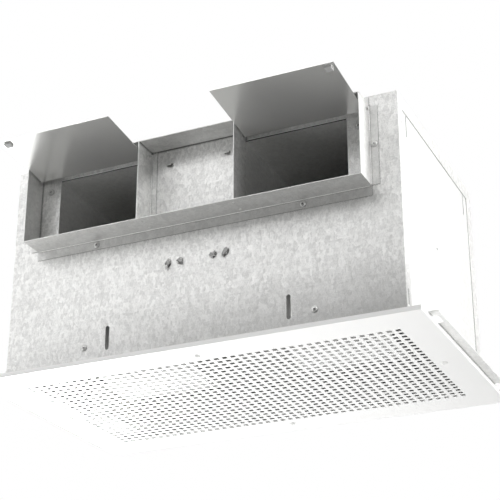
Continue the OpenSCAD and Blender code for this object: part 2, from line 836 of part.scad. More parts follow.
// Strap over each rubber ring, standing on the ear's two shoulders
module cradle_strap() translate([ring_x0 + ring_l / 2, 0, 0]) along_x(-bracket_t / 2, bracket_t / 2)
    difference() {
        union() {
            translate([axis_y, axis_z]) intersection() {
                circle(ring_r + strap_t);
                translate([-2 * ring_r, 0]) square(4 * ring_r);
            }
            translate([axis_y - ring_r - strap_w, axis_z]) square([2 * (ring_r + strap_w), strap_t]);
        }
        translate([axis_y, axis_z]) circle(ring_r - ring_groove + fit);
    }

module cradle_strap_right() color(steel) cradle_strap();
module cradle_strap_left() color(steel) mirror([1, 0, 0]) cradle_strap();

// Wiring box, on the left side panel

module wiring_box() color(galvanised) mirror([1, 0, 0]) difference() {
    block([box_x0, box_y0, box_z0], [side_x, box_y0 + box_l, box_z0 + box_h]);
    block([box_x0 - over, box_y0 + box_t, box_z0 + box_t],
          [side_x + over, box_y0 + box_l - box_t, box_z0 + box_h - box_t]);
}

module wiring_box_cover() color(galvanised) mirror([1, 0, 0]) difference() {
    block([box_x0 - box_t, box_y0, box_z0], [box_x0, box_y0 + box_l, box_z0 + box_h]);
    block([box_x0 - box_t - over, box_y - receptacle_l / 2, knockout_z - receptacle_h / 2],
          [box_x0 + over, box_y + receptacle_l / 2, knockout_z + receptacle_h / 2]);
    box_screw_places() cylinder(r = screw_hole_r, h = 4 * box_t, center = true);
}

// Moulded receptacle with three blade slots, let into the cover
module motor_receptacle() color("ivory") mirror([1, 0, 0]) difference() {
    union() {
        block([box_x0 - box_t, box_y - receptacle_l / 2, knockout_z - receptacle_h / 2],
              [box_x0 - box_t + receptacle_w, box_y + receptacle_l / 2, knockout_z + receptacle_h / 2]);
        block([box_x0 - box_t - receptacle_flange, box_y - receptacle_l / 2 - receptacle_rim,
               knockout_z - receptacle_h / 2 - receptacle_rim],
              [box_x0 - box_t, box_y + receptacle_l / 2 + receptacle_rim,
               knockout_z + receptacle_h / 2 + receptacle_rim]);
    }
    for (i = [-1 : 1])
        block([box_x0 - box_t - receptacle_flange - over,
               box_y + i * receptacle_l / 4 - blade_slot_w / 2, knockout_z - blade_slot_l / 2],
              [box_x0 + receptacle_w / 2, box_y + i * receptacle_l / 4 + blade_slot_w / 2,
               knockout_z + blade_slot_l / 2]);
}

// The cover's two screws, with local Z out of the cover
module box_screw_places() {
    for (s = [-1, 1]) translate([box_x0 - box_t, box_y + s * box_l * 0.38, knockout_z])
        rotate([0, -90, 0]) children();
}

module box_screws() color(steel) mirror([1, 0, 0]) box_screw_places() screw(4 * box_t);

// Acoustic lining

module liner_right() color(foam)
    block([liner_x, front_in + screw_room, liner_z0], [side_x, liner_back, liner_top_z]);

module liner_left() color(foam) mirror([1, 0, 0]) difference() {
    block([liner_x, front_in + screw_room, liner_z0], [side_x, liner_back, liner_top_z]);
    block([liner_x - over, box_y0 - box_lift, liner_z0 - over],
          [side_x + over, box_y0 + box_l + box_lift, box_z0 + box_h + box_lift]);
}

module liner_rear() color(foam) difference() {
    block([-side_x, liner_back, liner_z0], [side_x, back_in, liner_top_z]);
    block([-bracket_w / 2 - slack, liner_back - over, bracket_top - bracket_lip - slack],
          [bracket_w / 2 + slack, back_in + over, end_plate_top]);
}

module liner_top() color(foam)
    block([-side_x, front_in + screw_room, liner_top_z], [side_x, back_in, top_in]);

// Mounting rails

// Angle along the side's bottom edge, with a screw slot near each end
module mounting_rail() difference() {
    along_y(front_y, back_y) translate([half_w, 0]) angle_2d(rail_w, rail_h, rail_t, rail_t * 1.6);
    for (s = [-1, 1]) {
        translate([half_w + rail_w - rail_slot_inset, s * (back_y - rail_slot_end), -over])
            linear_extrude(rail_t + 2 * over) slot_2d(rail_slot_l, rail_slot_w);
        translate([half_w, s * (back_y - corner_lap / 2), rail_screw_z]) rotate([0, 90, 0])
            cylinder(r = screw_hole_r, h = 4 * rail_t, center = true);
    }
}

module mounting_rail_right() color(galvanised) mounting_rail();
module mounting_rail_left() color(galvanised) mirror([1, 0, 0]) mounting_rail();

// Grille

module hole_field_2d() {
    for (i = [0 : hole_cols - 1], j = [0 : hole_rows - 1])
        translate([(i - (hole_cols - 1) / 2) * hole_pitch, (j - (hole_rows - 1) / 2) * hole_pitch])
            square(hole_w, center = true);
}

// Perforated sheet with a turned-up rim, hung from the mouth flange by four screws
module grille() color(enamel) {
    translate([0, 0, grille_face]) linear_extrude(grille_t) difference() {
        square([grille_w, grille_d], center = true);
        hole_field_2d();
        for (s = [-1, 1]) {
            translate([s * grille_screw_x, 0]) circle(screw_hole_r);
            translate([0, s * grille_screw_y]) circle(screw_hole_r);
        }
    }
    translate([0, 0, grille_face]) linear_extrude(grille_rim) difference() {
        square([grille_w, grille_d], center = true);
        square([grille_w - 2 * grille_t, grille_d - 2 * grille_t], center = true);
    }
}

// Fasteners

module grille_screws() color(enamel) {
    l = grille_rim + 2 * sheet_t;
    for (s = [-1, 1]) {
        translate([s * grille_screw_x, 0, grille_face]) face_down() screw(l);
        translate([0, s * grille_screw_y, grille_face]) face_down() screw(l);
    }
}

module collar_screws() color(steel) {
    l = collar_t + sheet_t + 2 * collar_t;
    for (s = [-1, 1]) {
        for (z = [foot_screw_z, head_screw_z])
            translate([s * collar_screw_x, front_y - collar_t, z]) face_front() screw(l);
        translate([s * (collar_x + collar_end_flange / 2), front_y - collar_t, collar_end_screw_z])
            face_front() screw(l);
    }
}

module scroll_screws() color(steel)
    for (s = [-1, 1]) translate([s * scroll_screw_x, front_y, scroll_screw_z])
        face_front() screw(sheet_t + 3 * scroll_t);

module front_screws() color(steel)
    for (s = [-1, 1]) translate([s * front_screw_x, front_y, front_screw_z])
        face_front() screw(4 * sheet_t);

module rail_screws() color(steel)
    for (left = [true, false], s = [-1, 1]) sided(left)
        translate([half_w + rail_t, s * (back_y - corner_lap / 2), rail_screw_z])
            face_right() screw(rail_t + 3 * sheet_t);

module cradle_screws() color(steel)
    for (sx = [-1, 1], sy = [-1, 1])
        translate([sx * bracket_w / 4, axis_y + sy * cradle_screw_y, cradle_top])
            screw(4 * bracket_t);

module corner_rivets() color(galvanised)
    for (left = [true, false], s = [-1, 1], share = rivet_height_shares) sided(left)
        translate([half_w, s * (back_y - corner_lap * 0.43), housing_h * share]) face_right() rivet();

module divider_rivets() color(galvanised)
    for (s = [-1, 1], share = [0.2, 0.72])
        translate([s * (divider_x - divider_flange / 2), front_y - collar_depth * share, collar_bot_z])
            face_down() rivet();

front_panel();
rear_panel();
side_panel_left();
side_panel_right();
top_cover();
collar_top();
collar_bottom();
collar_wall_left();
collar_wall_right();
divider_left();
divider_right();
damper_flap_left();
damper_flap_right();
damper_pin_left();
damper_pin_right();
damper_pad_left();
damper_pad_right();
scroll_wrap_left();
scroll_wrap_right();
scroll_side_inner_left();
scroll_side_inner_right();
scroll_side_outer_left();
scroll_side_outer_right();
blower_wheel_left();
blower_wheel_right();
wheel_set_screws();
motor_shaft();
motor_shell();
motor_end_bell_left();
motor_end_bell_right();
motor_bearing_left();
motor_bearing_right();
isolator_ring_left();
isolator_ring_right();
motor_bracket();
motor_cradle();
cradle_strap_left();
cradle_strap_right();
wiring_box();
wiring_box_cover();
motor_receptacle();
liner_left();
liner_right();
liner_rear();
liner_top();
mounting_rail_left();
mounting_rail_right();
grille();
grille_screws();
collar_screws();
scroll_screws();
front_screws();
rail_screws();
cradle_screws();
box_screws();
corner_rivets();
divider_rivets();
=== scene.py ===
"""Ceiling exhaust fan with two blowers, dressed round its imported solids."""
import math

import bmesh
import bpy
from mathutils import Matrix, Vector


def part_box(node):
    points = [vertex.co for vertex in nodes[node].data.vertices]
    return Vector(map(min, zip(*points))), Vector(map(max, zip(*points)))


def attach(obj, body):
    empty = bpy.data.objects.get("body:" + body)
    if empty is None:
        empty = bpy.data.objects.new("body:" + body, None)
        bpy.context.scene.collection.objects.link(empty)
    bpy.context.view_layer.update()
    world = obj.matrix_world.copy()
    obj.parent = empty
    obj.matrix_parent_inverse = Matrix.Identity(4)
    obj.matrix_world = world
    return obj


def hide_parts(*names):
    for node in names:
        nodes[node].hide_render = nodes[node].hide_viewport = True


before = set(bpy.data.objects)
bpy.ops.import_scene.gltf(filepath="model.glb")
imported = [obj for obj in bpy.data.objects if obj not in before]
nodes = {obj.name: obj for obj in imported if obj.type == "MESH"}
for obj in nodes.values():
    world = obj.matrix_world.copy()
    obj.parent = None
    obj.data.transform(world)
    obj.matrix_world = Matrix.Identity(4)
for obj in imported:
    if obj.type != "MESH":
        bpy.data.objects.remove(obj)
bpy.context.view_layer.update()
scene = bpy.context.scene

# Camera. The fan is seen from below its right front corner, through a long lens, so that the
# perforated grille, the front with its duct connector and the right side all show.
camera_spot = Vector((0.8419, -1.8349, -0.6924))
camera_up_tilt = math.radians(24.42)
camera_turn = math.radians(24.55)
camera_data = bpy.data.cameras.new("camera")
camera_data.lens = 103.24
camera_data.sensor_width = 36.0
camera = bpy.data.objects.new("camera", camera_data)
camera.location = camera_spot
camera.rotation_euler = (math.pi / 2 + camera_up_tilt, 0, camera_turn)
scene.collection.objects.link(camera)
scene.camera = camera

# Studio. White air surrounds the hanging fan, and a pale floor lies far below it. Twelve soft
# square lamps stand high in front, at the right, near the front corners, low at the left and
# behind, and below.
floor_drop = -3.2
floor_side = 24.0
floor_own_light = 0.62
air_light_strength = 0.01
bpy.ops.object.select_all(action="DESELECT")
bpy.ops.mesh.primitive_plane_add(size=floor_side, location=(0, 0, floor_drop))
floor = bpy.context.object
floor.name = "floor"
bpy.ops.object.transform_apply(location=True, rotation=True, scale=True)
floor_paint = bpy.data.materials.new("floor_paint")
floor_paint.use_nodes = True
floor_shader = floor_paint.node_tree.nodes["Principled BSDF"]
floor_shader.inputs["Base Color"].default_value = (0.72, 0.72, 0.71, 1)
floor_shader.inputs["Roughness"].default_value = 0.9
floor_shader.inputs["Emission Color"].default_value = (1, 1, 0.99, 1)
floor_seen = floor_paint.node_tree.nodes.new("ShaderNodeLightPath")
floor_glow = floor_paint.node_tree.nodes.new("ShaderNodeMath")
floor_glow.operation = "MULTIPLY"
floor_glow.inputs[1].default_value = floor_own_light
floor_paint.node_tree.links.new(floor_seen.outputs["Is Camera Ray"], floor_glow.inputs[0])
floor_paint.node_tree.links.new(floor_glow.outputs[0], floor_shader.inputs["Emission Strength"])
floor.data.materials.append(floor_paint)

air = bpy.data.worlds.new("studio_air")
scene.world = air
air.use_nodes = True
air_nodes, air_links = air.node_tree.nodes, air.node_tree.links
air_nodes.clear()
air_out = air_nodes.new("ShaderNodeOutputWorld")
air_mix = air_nodes.new("ShaderNodeMixShader")
air_seen = air_nodes.new("ShaderNodeBackground")
air_seen.inputs["Color"].default_value = (1, 1, 1, 1)
air_seen.inputs["Strength"].default_value = 1.0
air_light = air_nodes.new("ShaderNodeBackground")
air_light.inputs["Color"].default_value = (1, 1, 1, 1)
air_light.inputs["Strength"].default_value = air_light_strength
air_path = air_nodes.new("ShaderNodeLightPath")
air_links.new(air_path.outputs["Is Camera Ray"], air_mix.inputs["Fac"])
air_links.new(air_light.outputs["Background"], air_mix.inputs[1])
air_links.new(air_seen.outputs["Background"], air_mix.inputs[2])
air_links.new(air_mix.outputs["Shader"], air_out.inputs["Surface"])

lamp_aim = Vector((0, -0.05, 0.16))


def soft_lamp(name, spot, side, watts):
    """A square lamp that faces the middle of the fan."""
    lamp_data = bpy.data.lights.new(name, "AREA")
    lamp_data.shape = "SQUARE"
    lamp_data.size = side
    lamp_data.energy = watts
    lamp = bpy.data.objects.new(name, lamp_data)
    lamp.location = spot
    lamp.rotation_euler = (lamp_aim - Vector(spot)).to_track_quat("-Z", "Y").to_euler()
    scene.collection.objects.link(lamp)


soft_lamp("lamp_front_left_high", (-2.3, -2.3, 1.5), 1.8, 23)
soft_lamp("lamp_front_high", (-0.6, -2.4, 2.2), 1.8, 19.5)
soft_lamp("lamp_right", (2.6, 0.9, 0.8), 1.8, 43)
soft_lamp("lamp_far_right", (3.2, 0.3, 0.3), 2.4, 128)
soft_lamp("lamp_camera_right", (1.6, -2.2, -0.6), 1.4, 11.6)
soft_lamp("lamp_low_left", (-2.2, 0.8, -1.4), 1.6, 20)
soft_lamp("lamp_low_back", (-1.0, 1.8, -1.4), 1.6, 19)
soft_lamp("lamp_back_left", (-1.6, 1.85, -0.9), 0.4, 38)
soft_lamp("lamp_near_left", (-1.2, -1.0, -0.4), 0.6, 6)
soft_lamp("lamp_near_left_low", (-1.0, -0.8, -0.9), 0.5, 1.3)
soft_lamp("lamp_near_right_high", (1.2, -1.2, 1.4), 0.6, 12)
soft_lamp("lamp_below", (0, 0, -3.0), 5.0, 37)

scene.view_settings.view_transform = "Standard"

# Galvanised sheet. Cold-rolled steel dipped in zinc, whose crystals show as feathered patches of
# slightly different grey, with faint rolling lines, painted highlights along the edges and painted
# shade in the seams. Near its lower right corner the front is painted darker, as shade.


def new_group(name, sockets_in, sockets_out):
    """An empty shader group with its input and output nodes."""
    group = bpy.data.node_groups.new(name, "ShaderNodeTree")
    for label, kind, value in sockets_in:
        socket = group.interface.new_socket(label, in_out="INPUT", socket_type=kind)
        if value is not None:
            socket.default_value = value
    for label, kind in sockets_out:
        group.interface.new_socket(label, in_out="OUTPUT", socket_type=kind)
    return group, group.nodes.new("NodeGroupInput"), group.nodes.new("NodeGroupOutput")


def add(tree, kind, inputs=(), **settings):
    """A node with its settings, whose inputs are given as values or as sockets to link."""
    node = tree.nodes.new("ShaderNode" + kind)
    for key, value in settings.items():
        setattr(node, key, value)
    for key, value in dict(inputs).items():
        if isinstance(value, bpy.types.NodeSocket):
            tree.links.new(value, node.inputs[key])
        else:
            node.inputs[key].default_value = value
    return node


def maths(tree, what, a, b):
    """One sum, product or other step of arithmetic."""
    return add(tree, "Math", {0: a, 1: b}, operation=what).outputs[0]


def vector_maths(tree, what, *values):
    """One step of arithmetic with vectors, which gives a vector or a number."""
    step = add(tree, "VectorMath", dict(enumerate(values)), operation=what)
    return step.outputs["Value" if what in ("DOT_PRODUCT", "LENGTH") else "Vector"]


def weighed(tree, first, second, first_weight):
    """The sum of two masks whose weights make one."""
    return maths(
        tree, "ADD",
        maths(tree, "MULTIPLY", first, first_weight),
        maths(tree, "MULTIPLY", second, 1 - first_weight),
    )


def ranged(tree, value, start, end, low=0.0, high=1.0):
    """A value brought from one range to another, and kept inside it."""
    limits = {"From Min": start, "From Max": end, "To Min": low, "To Max": high}
    return add(tree, "MapRange", {"Value": value, **limits}).outputs[0]


def noise(tree, place, scale, detail, roughness=0.5):
    """Cloudy noise, whose scale is its clouds per unit of the place."""
    clouds = {"Vector": place, "Scale": scale, "Detail": detail, "Roughness": roughness}
    return add(tree, "TexNoise", clouds)


# Crystals are bent cells, each with a tone and a slant of its own and feathers turned its own way.
crystal_wobble = 0.9
cell_weight = 0.25
facet_weight = 0.7
feather_turn = 12.0
feather_stretch = (0.8, 3.2, 2.0)
zinc_crystals, zinc_in, zinc_out = new_group(
    "zinc_crystals",
    [("Vector", "NodeSocketVector", None), ("Crystals per metre", "NodeSocketFloat", None)],
    [("Tone", "NodeSocketFloat"), ("Height", "NodeSocketFloat")],
)
zinc_place = add(
    zinc_crystals, "VectorMath",
    {0: zinc_in.outputs["Vector"], "Scale": zinc_in.outputs["Crystals per metre"]}, operation="SCALE",
).outputs["Vector"]
zinc_wobble = noise(zinc_crystals, zinc_place, 1.6, 3.0).outputs["Color"]
zinc_shift = vector_maths(zinc_crystals, "MULTIPLY_ADD", zinc_wobble, [crystal_wobble] * 3, zinc_place)
zinc_cell = add(zinc_crystals, "TexVoronoi", {"Vector": zinc_shift, "Scale": 1.0}, feature="F1")
zinc_pick = add(zinc_crystals, "SeparateColor", {"Color": zinc_cell.outputs["Color"]})
zinc_axis = vector_maths(zinc_crystals, "SUBTRACT", zinc_cell.outputs["Color"], (0.5, 0.5, 0.5))
zinc_angle = maths(zinc_crystals, "MULTIPLY", zinc_pick.outputs["Red"], feather_turn)
zinc_turn = add(
    zinc_crystals, "VectorRotate",
    {"Vector": zinc_shift, "Axis": zinc_axis, "Angle": zinc_angle}, rotation_type="AXIS_ANGLE",
)
zinc_stretch = vector_maths(zinc_crystals, "MULTIPLY", zinc_turn.outputs["Vector"], feather_stretch)
zinc_feather = noise(zinc_crystals, zinc_stretch, 1.0, 3.0, 0.55).outputs["Fac"]
zinc_reach = vector_maths(zinc_crystals, "SUBTRACT", zinc_shift, zinc_cell.outputs["Position"])
zinc_facet = vector_maths(zinc_crystals, "DOT_PRODUCT", zinc_reach, zinc_axis)
zinc_tone = weighed(zinc_crystals, zinc_pick.outputs["Green"], zinc_feather, cell_weight)
zinc_height = weighed(zinc_crystals, zinc_facet, zinc_feather, facet_weight)
zinc_crystals.links.new(zinc_tone, zinc_out.inputs["Tone"])
zinc_crystals.links.new(zinc_height, zinc_out.inputs["Height"])

# A sheet's history is slow smudges, and rolling lines where the stretch packs the noise.
sheet_history, history_in, history_out = new_group(
    "sheet_history",
    [("Vector", "NodeSocketVector", None), ("Stretch", "NodeSocketVector", (1.0, 1.0, 1.0))],
    [("Smudge", "NodeSocketFloat"), ("Rolling lines", "NodeSocketFloat")],
)
history_place = history_in.outputs["Vector"]
history_stretch = vector_maths(sheet_history, "MULTIPLY", history_place, history_in.outputs["Stretch"])
history_smudge = noise(sheet_history, history_place, 7.0, 4.0, 0.55)
history_lines = noise(sheet_history, history_stretch, 1.0, 2.0)
sheet_history.links.new(history_smudge.outputs["Fac"], history_out.inputs["Smudge"])
sheet_history.links.new(history_lines.outputs["Fac"], history_out.inputs["Rolling lines"])

# The patch of painted shade is a squashed ball with a wandering edge, on the front's lower right.
patch_middle = (0.34, -0.175, 0.03)
patch_wander = (0.12, 0.0, 0.06)
patch_squash = (1.5, 6.0, 11.0)
shade_patch, patch_in, patch_out = new_group(
    "shade_patch",
    [("Vector", "NodeSocketVector", None)],
    [("Painted shade", "NodeSocketFloat")],
)
patch_place = patch_in.outputs["Vector"]
patch_wobble = noise(shade_patch, patch_place, 9.0, 3.0).outputs["Color"]
patch_shift = vector_maths(shade_patch, "MULTIPLY_ADD", patch_wobble, patch_wander, patch_place)
patch_from = vector_maths(shade_patch, "SUBTRACT", patch_shift, patch_middle)
patch_far = vector_maths(
    shade_patch, "LENGTH", vector_maths(shade_patch, "MULTIPLY", patch_from, patch_squash)
)
shade_patch.links.new(ranged(shade_patch, patch_far, 1.0, 0.0), patch_out.inputs["Painted shade"])

# The edge mask follows the cosine of the angle between the rounded and the flat normal; the
# zinc sheet and the hook ends use it for painted highlights along their edges.
edge_starts, edge_full = 0.995, 0.86
edge_mask, edge_mask_in, edge_mask_out = new_group(
    "edge_mask",
    [("Width", "NodeSocketFloat", 0.0012)],
    [("Edge", "NodeSocketFloat")],
)
edge_round_normal = add(edge_mask, "Bevel", {"Radius": edge_mask_in.outputs["Width"]}, samples=4).outputs["Normal"]
edge_flat_normal = add(edge_mask, "NewGeometry").outputs["Normal"]
edge_normal_dot = vector_maths(edge_mask, "DOT_PRODUCT", edge_round_normal, edge_flat_normal)
edge_mask.links.new(ranged(edge_mask, edge_normal_dot, edge_starts, edge_full), edge_mask_out.inputs["Edge"])

# Painted shade in seams and creases follows the share of the near surroundings that is open.
shade_starts, shade_full = 0.85, 0.48
seam_shade, seam_shade_in, seam_shade_out = new_group(
    "seam_shade",
    [("Reach", "NodeSocketFloat", 0.004)],
    [("Crease shade", "NodeSocketFloat")],
)
seam_open = add(seam_shade, "AmbientOcclusion", {"Distance": seam_shade_in.outputs["Reach"]}, samples=6)
seam_shut = ranged(seam_shade, seam_open.outputs["AO"], shade_starts, shade_full)
seam_shade.links.new(seam_shut, seam_shade_out.inputs["Crease shade"])


def group_node(tree, group, inputs=()):
    """One use of a shader group."""
    return add(tree, "Group", inputs, node_tree=group)


def history_of(tree, place, stretch=(1.0, 1.0, 1.0)):
    """The rolling lines and the smudges of a surface."""
    history = group_node(tree, sheet_history, {"Vector": place, "Stretch": stretch})
    return history.outputs["Rolling lines"], history.outputs["Smudge"]


def blended(tree, share, first, second):
    """A colour between two colours."""
    return add(tree, "Mix", {0: share, 6: first, 7: second}, data_type="RGBA").outputs[2]


def grey(level):
    """A grey with a trace of warmth."""
    return (level, level, level * 0.985, 1)


def finish_named(name, metallic):
    """A new material with its tree, its shader and its object coordinates."""
    made = bpy.data.materials.new(name)
    made.use_nodes = True
    shader = made.node_tree.nodes["Principled BSDF"]
    shader.inputs["Metallic"].default_value = metallic
    place = made.node_tree.nodes.new("ShaderNodeTexCoord").outputs["Object"]
    return made, made.node_tree, shader, place


def paint(tree, shader, share, first, second):
    """Gives a shader a colour between two colours, by a mask."""
    tree.links.new(blended(tree, share, first, second), shader.inputs["Base Color"])


def roughen(tree, shader, share, at_none, at_full):
    """Gives a shader a roughness between two values, by a mask."""
    tree.links.new(ranged(tree, share, 0.0, 1.0, at_none, at_full), shader.inputs["Roughness"])


def emboss(tree, shader, height, strength, distance):
    """Gives a shader a fine relief, by a mask."""
    relief = add(tree, "Bump", {"Height": height, "Strength": strength, "Distance": distance})
    tree.links.new(relief.outputs["Normal"], shader.inputs["Normal"])


zinc_metallic = 0.8
crystal_weight = 0.5
streak_weight = 0.65
crystal_relief = 0.0008
patch_shade_darkness = 0.5
seam_shade_darkness = 0.15
edge_highlight_share = 0.6
edge_highlight_lightening = 1.12
edge_highlight_lightest = 0.95


def zinc_sheet(
    name, dark, light, crystals=200.0, lines=(4.0, 4.0, 420.0), grain=(1.0, 1.0, 1.0), patch_shade_strength=0.0, seam_shade_strength=0.85
):
    """Galvanised finish between two greys, with its crystals per metre.

    Lines and grain say how closely the rolling lines and the crystals follow each other along
    each axis. The last two say how strong the painted shade is, in the patch near the front's
    lower right corner and in the seams.
    """
    made, tree, shader, place = finish_named(name, zinc_metallic)
    drawn = vector_maths(tree, "MULTIPLY", place, grain)
    crystal = group_node(tree, zinc_crystals, {"Vector": drawn, "Crystals per metre": crystals})
    streaks, smudges = history_of(tree, place, lines)
    body = ranged(tree, crystal.outputs["Tone"], 0.36, 0.64)
    marks = weighed(tree, streaks, smudges, streak_weight)
    share = weighed(tree, body, marks, crystal_weight)
    colour = blended(tree, share, grey(dark), grey(light))
    # Painted shade darkens the front near its lower right corner.
    patch_shade = group_node(tree, shade_patch, {"Vector": place}).outputs["Painted shade"]
    patch_shade = maths(tree, "MULTIPLY", patch_shade, patch_shade_strength)
    colour = blended(tree, patch_shade, colour, grey(dark * patch_shade_darkness))
    # Painted shade darkens the seams and creases.
    crease_shade = maths(tree, "MULTIPLY", group_node(tree, seam_shade).outputs["Crease shade"], seam_shade_strength)
    colour = blended(tree, crease_shade, colour, grey(dark * seam_shade_darkness))
    # Painted highlights lighten the edges.
    edge_highlight = maths(tree, "MULTIPLY", group_node(tree, edge_mask).outputs["Edge"], edge_highlight_share)
    paint(tree, shader, edge_highlight, colour, grey(min(light * edge_highlight_lightening, edge_highlight_lightest)))
    tree.links.new(ranged(tree, share, 0.2, 0.8, 0.5, 0.42), shader.inputs["Roughness"])
    emboss(tree, shader, crystal.outputs["Height"], 0.5, crystal_relief)
    return made


def dress(finish, *names):
    """Gives CAD nodes their finish."""
    for name in names:
        mesh = nodes[name].data
        mesh.materials.clear()
        mesh.materials.append(finish)


panel_zinc = zinc_sheet("panel_zinc", 0.6, 0.985, grain=(1.25, 1.0, 0.75), patch_shade_strength=0.7)
dress(panel_zinc, "front_panel", "rear_panel", "top_cover")
dress(panel_zinc, "motor_bracket", "divider_left", "divider_right")
side_zinc = zinc_sheet("side_zinc", 0.72, 0.93, grain=(1.0, 1.25, 0.75))
dress(side_zinc, "side_panel_left", "side_panel_right")
# The connector's plates are given darker greys than the panels' same zinc, as painted shade.
collar_zinc = zinc_sheet("collar_zinc", 0.58, 0.76, crystals=150.0, lines=(420.0, 4.0, 4.0))
dress(collar_zinc, "collar_top", "collar_bottom", "collar_wall_left", "collar_wall_right")
carrier_zinc = zinc_sheet("carrier_zinc", 0.5, 0.72)
dress(carrier_zinc, "motor_cradle", "wiring_box", "wiring_box_cover")
dress(carrier_zinc, "corner_rivets", "divider_rivets")
dress(carrier_zinc, "blower_wheel_left", "blower_wheel_right")
scroll_zinc = zinc_sheet("scroll_zinc", 0.74, 0.92, seam_shade_strength=0.0)
for side in ("left", "right"):
    dress(scroll_zinc, f"scroll_wrap_{side}", f"scroll_side_inner_{side}", f"scroll_side_outer_{side}")
rail_zinc = zinc_sheet("rail_zinc", 0.7, 0.9)
dress(rail_zinc, "mounting_rail_left", "mounting_rail_right")

# Backdraft flaps. Each is a smooth aluminium sheet with a barrel rolled along its upper edge,
# which swings on a steel pin between the connector's end wall and a divider. Fine rolling
# lines run along the barrel.
flap_metal, flap_tree, flap_shader, flap_place = finish_named("flap_metal", 0.79)
flap_lines, flap_smudges = history_of(flap_tree, flap_place, (5.0, 900.0, 900.0))
flap_share = weighed(flap_tree, flap_lines, flap_smudges, 0.15)
flap_colour = blended(flap_tree, flap_share, grey(0.9), grey(0.99))
flap_edge = maths(flap_tree, "MULTIPLY", group_node(flap_tree, edge_mask).outputs["Edge"], 0.7)
flap_waves = noise(flap_tree, flap_place, 7.0, 0.0).outputs["Fac"]
paint(flap_tree, flap_shader, flap_edge, flap_colour, grey(0.85))
roughen(flap_tree, flap_shader, flap_share, 0.3, 0.16)
emboss(flap_tree, flap_shader, flap_waves, 1.0, 0.003)
dress(flap_metal, "damper_flap_left", "damper_flap_right")

# Bright steel. Pins, shaft, straps and set screws are turned or rolled steel with a thin bright
# zinc plate, a little darker where it has been handled.
bright_steel, steel_tree, steel_shader, steel_place = finish_named("bright_steel", 1.0)
steel_lines, steel_smudges = history_of(steel_tree, steel_place, (60.0, 1500.0, 1500.0))
paint(steel_tree, steel_shader, steel_smudges, grey(0.42), grey(0.72))
roughen(steel_tree, steel_shader, steel_lines, 0.2, 0.42)
dress(bright_steel, "damper_pin_left", "damper_pin_right", "motor_shaft", "wheel_set_screws")
dress(bright_steel, "cradle_strap_left", "cradle_strap_right")

# Motor. A rolled shell under satin dark grey enamel between two die-cast end bells, which hold
# sintered bronze bushes and rest in moulded rubber rings.
motor_paint, paint_tree, paint_shader, paint_place = finish_named("motor_paint", 0.0)
paint_lines, paint_smudges = history_of(paint_tree, paint_place, (40.0, 40.0, 40.0))
paint(paint_tree, paint_shader, paint_smudges, grey(0.035), grey(0.07))
roughen(paint_tree, paint_shader, paint_lines, 0.3, 0.45)
dress(motor_paint, "motor_shell")
bell_casting, bell_tree, bell_shader, bell_place = finish_named("bell_casting", 0.85)
bell_grain = noise(bell_tree, bell_place, 900.0, 3.0).outputs["Fac"]
paint(bell_tree, bell_shader, bell_grain, grey(0.32), grey(0.5))
bell_shader.inputs["Roughness"].default_value = 0.55
emboss(bell_tree, bell_shader, bell_grain, 0.3, 0.0004)
dress(bell_casting, "motor_end_bell_left", "motor_end_bell_right")
bush_bronze, bush_tree, bush_shader, bush_place = finish_named("bush_bronze", 1.0)
bush_grain = noise(bush_tree, bush_place, 2500.0, 2.0).outputs["Fac"]
paint(bush_tree, bush_shader, bush_grain, (0.28, 0.16, 0.07, 1), (0.55, 0.36, 0.17, 1))
bush_shader.inputs["Roughness"].default_value = 0.45
dress(bush_bronze, "motor_bearing_left", "motor_bearing_right")
ring_rubber, rubber_tree, rubber_shader, rubber_place = finish_named("ring_rubber", 0.0)
rubber_grain = noise(rubber_tree, rubber_place, 1200.0, 3.0).outputs["Fac"]
paint(rubber_tree, rubber_shader, rubber_grain, grey(0.015), grey(0.035))
rubber_shader.inputs["Roughness"].default_value = 0.7
dress(ring_rubber, "isolator_ring_left", "isolator_ring_right")

# Receptacle. A moulded ivory socket body that is let into the wiring box's cover, with three
# blade slots.
socket_plastic, plastic_tree, plastic_shader, plastic_place = finish_named("socket_plastic", 0.0)
plastic_grain = noise(plastic_tree, plastic_place, 1600.0, 2.0).outputs["Fac"]
paint(plastic_tree, plastic_shader, plastic_grain, (0.66, 0.63, 0.54, 1), (0.74, 0.71, 0.62, 1))
plastic_shader.inputs["Roughness"].default_value = 0.42
dress(socket_plastic, "motor_receptacle")

# Grille. A punched steel sheet with a turned-up rim under white baked enamel, whose surface
# has the faint unevenness of a sprayed coat.
grille_enamel, enamel_tree, enamel_shader, enamel_place = finish_named("grille_enamel", 0.0)
enamel_peel = noise(enamel_tree, enamel_place, 420.0, 2.0).outputs["Fac"]
enamel_smudges = history_of(enamel_tree, enamel_place)[1]
paint(enamel_tree, enamel_shader, enamel_smudges, (0.84, 0.84, 0.83, 1), (0.9, 0.9, 0.89, 1))
roughen(enamel_tree, enamel_shader, enamel_peel, 0.32, 0.42)
emboss(enamel_tree, enamel_shader, enamel_peel, 0.15, 0.0003)
dress(grille_enamel, "grille")

# Lining. Open-cell acoustic foam, cut from slab and glued to the inside of the sheet metal,
# with soft edges and faces that aren't quite flat.
lining_foam, foam_tree, foam_shader, foam_place = finish_named("lining_foam", 0.0)
foam_cells = add(foam_tree, "TexVoronoi", {"Vector": foam_place, "Scale": 700.0}).outputs["Distance"]
paint(foam_tree, foam_shader, foam_cells, grey(0.02), grey(0.07))
foam_shader.inputs["Roughness"].default_value = 0.95
emboss(foam_tree, foam_shader, foam_cells, 0.6, 0.001)


def pick(piece, test):
    """Selects the faces in edit mode whose middle and outward direction pass the test."""
    mesh = bmesh.from_edit_mesh(piece.data)
    for face in mesh.faces:
        face.select_set(test(face.calc_center_median(), face.normal))
    bmesh.update_edit_mesh(piece.data)


